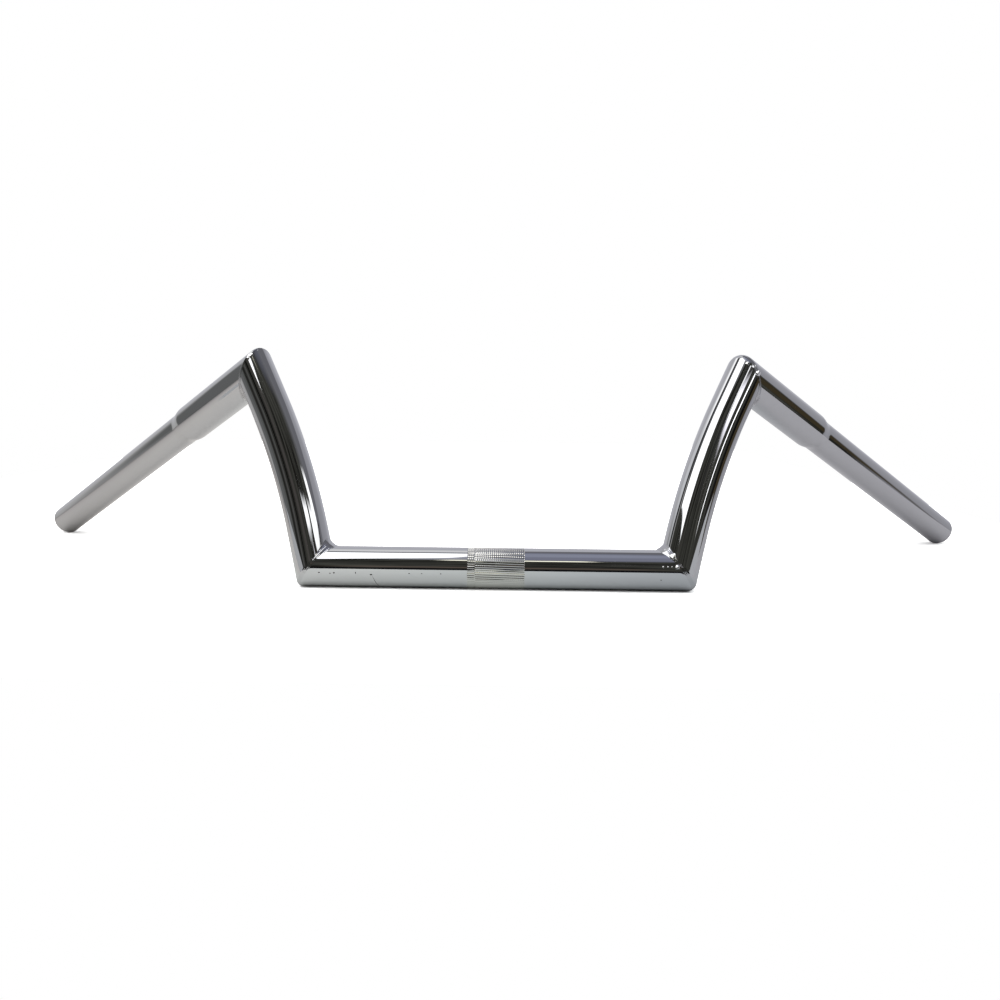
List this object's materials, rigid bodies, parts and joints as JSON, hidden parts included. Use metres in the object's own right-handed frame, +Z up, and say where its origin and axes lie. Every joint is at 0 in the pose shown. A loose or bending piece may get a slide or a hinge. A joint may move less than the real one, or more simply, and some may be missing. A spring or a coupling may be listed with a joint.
{
  "type": "moped handlebar",
  "caption": "Chromed Z-style moped handlebar of mitred, welded tube: knurled clamp tube, bent risers and swept-back grip tubes that step down to a thinner grip end.",
  "frame": {"origin": "middle of the centre tube, on its axis, where the stem clamp closes", "axes": "+X along the centre tube, +Y back towards the grip ends, +Z up from the surface that the bar lies on"},
  "size_m": [0.7312, 0.2334, 0.1449],
  "materials": {
    "chrome_plate": "polished chrome plate on steel tube",
    "chromed_weld": "chrome plate over a dressed weld, slightly rippled"
  },
  "bodies": {
    "root": {"centre_tube": "chrome_plate", "left_riser": "chrome_plate", "right_riser": "chrome_plate", "left_grip_tube": "chrome_plate", "right_grip_tube": "chrome_plate", "lower_left_weld": "chromed_weld", "lower_right_weld": "chromed_weld", "upper_left_weld": "chromed_weld", "upper_right_weld": "chromed_weld"}
  },
  "joints": []
}
